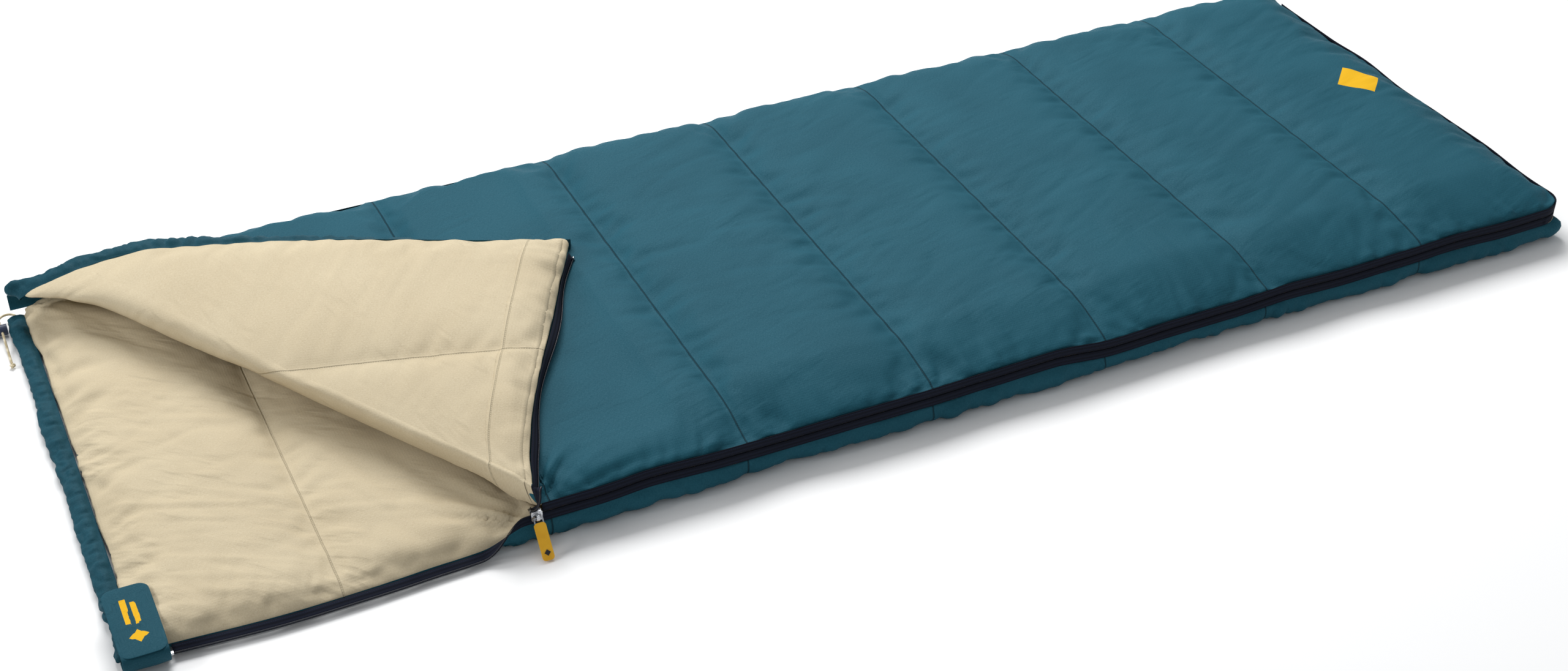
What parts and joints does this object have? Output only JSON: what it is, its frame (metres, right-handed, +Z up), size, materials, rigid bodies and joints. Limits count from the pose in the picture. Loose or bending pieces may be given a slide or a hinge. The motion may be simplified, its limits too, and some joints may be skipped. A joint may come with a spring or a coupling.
{
  "type": "rectangular sleeping bag",
  "caption": "Rectangular quilted sleeping bag, lying flat and zipped along one side and the foot, with the head corner of its top panel turned back.",
  "frame": {"origin": "middle of the flat underside, halfway along the length and the width", "axes": "+X along the length to the foot end, +Y across to the folded long side, +Z up"},
  "size_m": [2.2306, 0.824, 0.1135],
  "materials": {
    "shell": "satin woven microfibre, teal",
    "filling": "matt fibre wadding, white",
    "lining": "matt soft woven cloth, cream",
    "cord": "matt braided cord, cream",
    "zip_tape": "matt woven tape, navy",
    "zip_coil": "satin moulded coil, navy",
    "bright_metal": "polished plated metal",
    "pull_tab": "satin moulded plastic, yellow",
    "cord_lock": "satin moulded plastic, navy",
    "hook_and_loop": "matt hook and loop tape, near black"
  },
  "bodies": {
    "bag": {"bottom_shell": "shell", "bottom_fill": "filling", "bottom_lining": "lining", "bottom_hem": "shell", "drawcord": "cord", "zip_tape_lower": "zip_tape", "zip_coil_lower": "zip_coil", "zip_end_stop": "bright_metal", "lower_top_stop": "bright_metal", "flap_root": "shell"},
    "top_panel": {"top_shell": "shell", "top_fill": "filling", "top_lining": "lining", "draft_strip": "lining", "zip_tape_upper": "zip_tape", "zip_coil_upper": "zip_coil"},
    "corner": {"corner_shell": "shell", "corner_fill": "filling", "corner_lining": "lining", "corner_facing": "lining", "corner_hem": "shell", "corner_drawcord": "cord", "corner_zip_tape": "zip_tape", "corner_zip_coil": "zip_coil", "upper_top_stop": "bright_metal", "loop_patch": "hook_and_loop"},
    "slider": {"slider_body": "bright_metal", "slider_crown": "bright_metal", "slider_crown_inner": "bright_metal"},
    "outer_pull": {"pull_link": "bright_metal", "pull_tab": "pull_tab"},
    "inner_pull": {"inner_pull": "bright_metal"},
    "closure_flap": {"closure_flap": "shell", "hook_patch": "hook_and_loop"},
    "cord_lock": {"cord_lock_barrel": "cord_lock"},
    "cord_lock_button": {"cord_lock_button": "cord_lock"}
  },
  "joints": [
    {"name": "top_panel_open", "type": "hinge", "parent": "bag", "child": "top_panel", "pos_m": [0, 0.39, 0.039], "axis": [-1, 0, 0], "range_deg": [0, 180]},
    {"name": "corner_close", "type": "hinge", "parent": "top_panel", "child": "corner", "pos_m": [-0.835, 0, 0.079], "axis": [0.562, -0.8271, 0], "range_deg": [0, 180]},
    {"name": "slider_slide", "type": "slide", "parent": "bag", "child": "slider", "axis": [1, 0, 0], "range_m": [0, 1.6]},
    {"name": "outer_pull_swing", "type": "hinge", "parent": "slider", "child": "outer_pull", "pos_m": [-0.57, -0.398, 0.044], "axis": [-1, 0, 0], "range_deg": [0, 120]},
    {"name": "inner_pull_swing", "type": "hinge", "parent": "slider", "child": "inner_pull", "pos_m": [-0.57, -0.386, 0.044], "axis": [1, 0, 0], "range_deg": [0, 25]},
    {"name": "closure_flap_open", "type": "hinge", "parent": "bag", "child": "closure_flap", "pos_m": [-1.069, -0.424, 0.03575], "axis": [1, 0, 0], "range_deg": [0, 180]},
    {"name": "cord_lock_slide", "type": "slide", "parent": "bag", "child": "cord_lock", "axis": [0, -1, 0], "range_m": [0, 0.06]},
    {"name": "cord_lock_press", "type": "slide", "parent": "cord_lock", "child": "cord_lock_button", "axis": [1, 0, 0], "range_m": [0, 0.003], "stiffness_N_per_m": 400}
  ]
}
